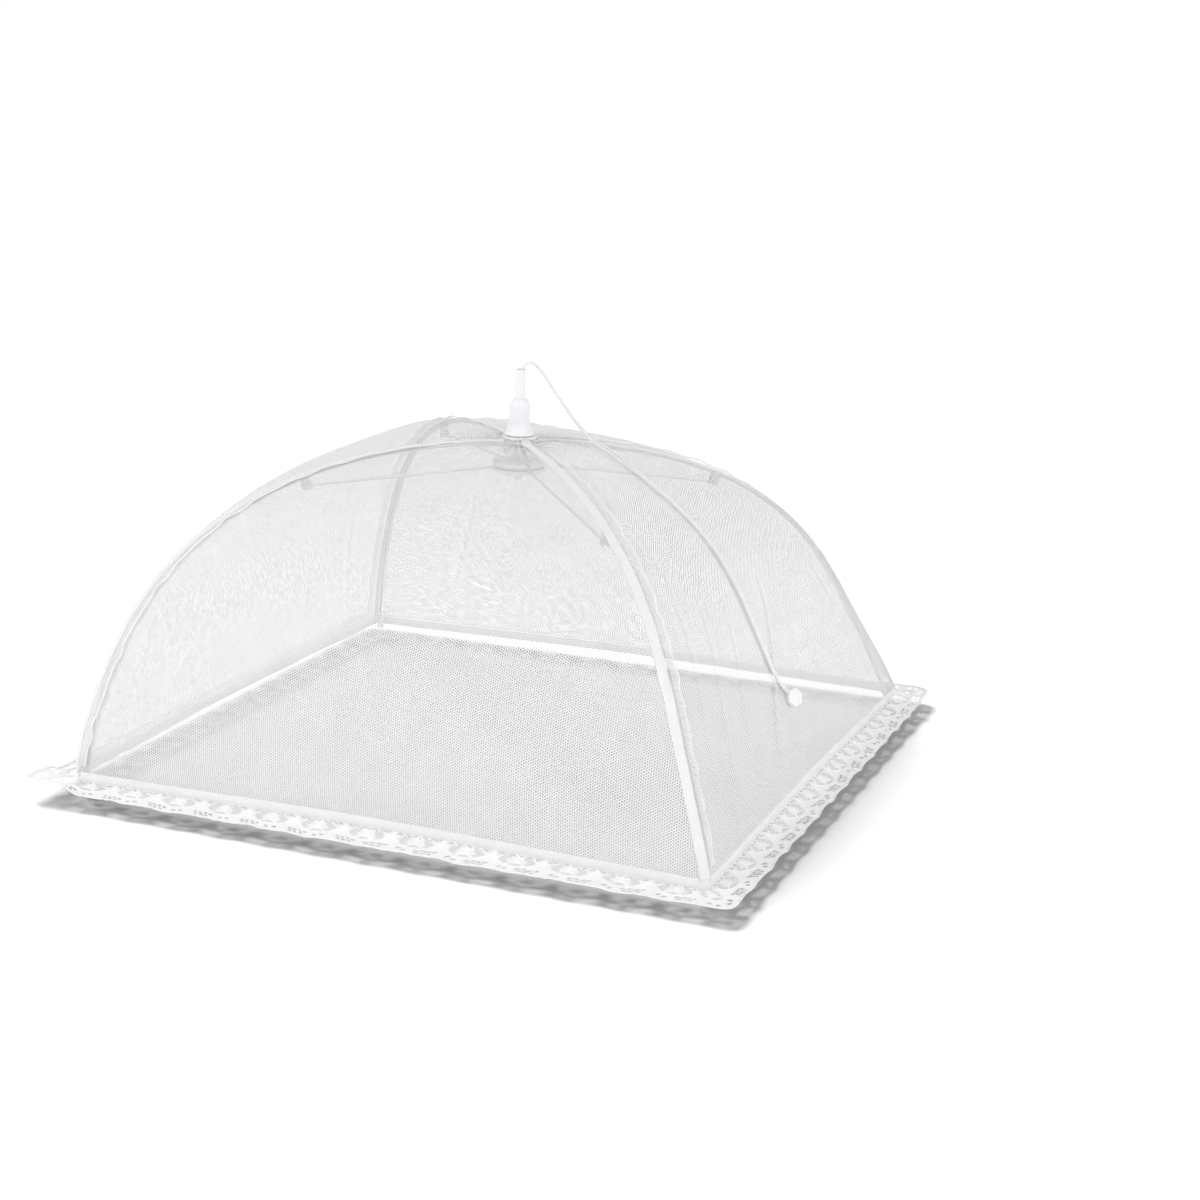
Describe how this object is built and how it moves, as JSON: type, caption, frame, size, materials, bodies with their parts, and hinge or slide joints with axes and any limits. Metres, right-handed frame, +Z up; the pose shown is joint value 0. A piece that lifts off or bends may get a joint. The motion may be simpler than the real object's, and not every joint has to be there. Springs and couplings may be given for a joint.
{
  "type": "pop-up mesh food cover",
  "caption": "Square net tent on sprung wire ribs that stands over food on a table and folds like an umbrella when its cord is let go.",
  "frame": {"origin": "on the table under the hub: the middle of the cover's square foot print, at table height", "axes": "+Z up along the handle tube, -Y towards the front panel, +X towards the right panel that carries the pull cord"},
  "size_m": [0.477, 0.477, 0.2613],
  "materials": {
    "white_net": "fine white polyester net, part see-through",
    "white_cloth": "plain white woven cloth",
    "white_lace": "machine-made openwork lace, matt white",
    "white_tape": "woven white edging tape, matt",
    "white_cord": "soft twisted white string",
    "white_plastic": "moulded white plastic, satin",
    "pale_steel": "drawn zinc-coated steel wire"
  },
  "bodies": {
    "crown": {"crown_hub": "white_plastic", "crown_tie_wire": "pale_steel", "crown_cloth_patch": "white_cloth", "handle_ferrule": "white_plastic", "handle_tube": "white_plastic", "pull_cord": "white_cord", "cord_tag": "white_plastic", "inner_cord": "white_cord"},
    "runner": {"runner": "white_plastic", "runner_tie_wire": "pale_steel", "cord_knot": "white_cord"},
    "rib_front_left": {"rib_front_left": "pale_steel", "rib_binding_front_left": "white_tape", "rib_tip_front_left": "white_plastic", "rib_bracket_front_left": "pale_steel", "bracket_rivet_front_left": "pale_steel", "hem_tape_front_left": "white_tape", "lace_front_left": "white_lace", "front_panel_left_half": "white_net", "left_panel_front_half": "white_net"},
    "rib_front_right": {"rib_front_right": "pale_steel", "rib_binding_front_right": "white_tape", "rib_tip_front_right": "white_plastic", "rib_bracket_front_right": "pale_steel", "bracket_rivet_front_right": "pale_steel", "hem_tape_front_right": "white_tape", "lace_front_right": "white_lace", "front_panel_right_half": "white_net", "right_panel_front_half": "white_net"},
    "rib_back_right": {"rib_back_right": "pale_steel", "rib_binding_back_right": "white_tape", "rib_tip_back_right": "white_plastic", "rib_bracket_back_right": "pale_steel", "bracket_rivet_back_right": "pale_steel", "hem_tape_back_right": "white_tape", "lace_back_right": "white_lace", "right_panel_back_half": "white_net", "back_panel_right_half": "white_net"},
    "rib_back_left": {"rib_back_left": "pale_steel", "rib_binding_back_left": "white_tape", "rib_tip_back_left": "white_plastic", "rib_bracket_back_left": "pale_steel", "bracket_rivet_back_left": "pale_steel", "hem_tape_back_left": "white_tape", "lace_back_left": "white_lace", "back_panel_left_half": "white_net", "left_panel_back_half": "white_net"},
    "stretcher_front_left": {"stretcher_front_left": "pale_steel"},
    "stretcher_front_right": {"stretcher_front_right": "pale_steel"},
    "stretcher_back_right": {"stretcher_back_right": "pale_steel"},
    "stretcher_back_left": {"stretcher_back_left": "pale_steel"}
  },
  "joints": [
    {"name": "rib_front_right_fold", "type": "hinge", "parent": "crown", "child": "rib_front_right", "pos_m": [0.00566, -0.00566, 0.2055], "axis": [0.7071, 0.7071, 0], "range_deg": [0, 43], "deforming": ["front_panel_right_half", "right_panel_front_half", "hem_tape_front_right", "lace_front_right"]},
    {"name": "rib_back_right_fold", "type": "hinge", "parent": "crown", "child": "rib_back_right", "pos_m": [0.00566, 0.00566, 0.2055], "axis": [-0.7071, 0.7071, 0], "range_deg": [0, 43], "deforming": ["right_panel_back_half", "back_panel_right_half", "hem_tape_back_right", "lace_back_right"]},
    {"name": "rib_front_left_fold", "type": "hinge", "parent": "crown", "child": "rib_front_left", "pos_m": [-0.00566, -0.00566, 0.2055], "axis": [0.7071, -0.7071, 0], "range_deg": [0, 49.2], "deforming": ["front_panel_left_half", "left_panel_front_half", "hem_tape_front_left", "lace_front_left"]},
    {"name": "rib_back_left_fold", "type": "hinge", "parent": "crown", "child": "rib_back_left", "pos_m": [-0.00566, 0.00566, 0.2055], "axis": [-0.7071, -0.7071, 0], "range_deg": [0, 49.2], "deforming": ["back_panel_left_half", "left_panel_back_half", "hem_tape_back_left", "lace_back_left"]},
    {"name": "runner_slide", "type": "slide", "parent": "crown", "child": "runner", "axis": [0, 0, -1], "range_m": [0, 0.217]},
    {"name": "stretcher_front_right_swing", "type": "hinge", "parent": "rib_front_right", "child": "stretcher_front_right", "pos_m": [0.10327, -0.10327, 0.17095], "axis": [0.7071, 0.7071, 0], "range_deg": [-109.5, 0]},
    {"name": "stretcher_back_right_swing", "type": "hinge", "parent": "rib_back_right", "child": "stretcher_back_right", "pos_m": [0.10327, 0.10327, 0.17095], "axis": [-0.7071, 0.7071, 0], "range_deg": [-109.5, 0]},
    {"name": "stretcher_front_left_swing", "type": "hinge", "parent": "rib_front_left", "child": "stretcher_front_left", "pos_m": [-0.10423, -0.10423, 0.18535], "axis": [0.7071, -0.7071, 0], "range_deg": [-110, 0]},
    {"name": "stretcher_back_left_swing", "type": "hinge", "parent": "rib_back_left", "child": "stretcher_back_left", "pos_m": [-0.10423, 0.10423, 0.18535], "axis": [-0.7071, -0.7071, 0], "range_deg": [-110, 0]}
  ],
  "couplings": [
    {"joint": "rib_back_right_fold", "follows": "rib_front_right_fold", "ratio": 1},
    {"joint": "rib_front_left_fold", "follows": "rib_front_right_fold", "ratio": 1.142},
    {"joint": "rib_back_left_fold", "follows": "rib_front_right_fold", "ratio": 1.142},
    {"joint": "runner_slide", "follows": "rib_front_right_fold", "m_per_rad": 0.2887},
    {"joint": "stretcher_front_right_swing", "follows": "rib_front_right_fold", "ratio": -2.544},
    {"joint": "stretcher_back_right_swing", "follows": "rib_front_right_fold", "ratio": -2.544},
    {"joint": "stretcher_front_left_swing", "follows": "rib_front_right_fold", "ratio": -2.5567},
    {"joint": "stretcher_back_left_swing", "follows": "rib_front_right_fold", "ratio": -2.5567}
  ]
}
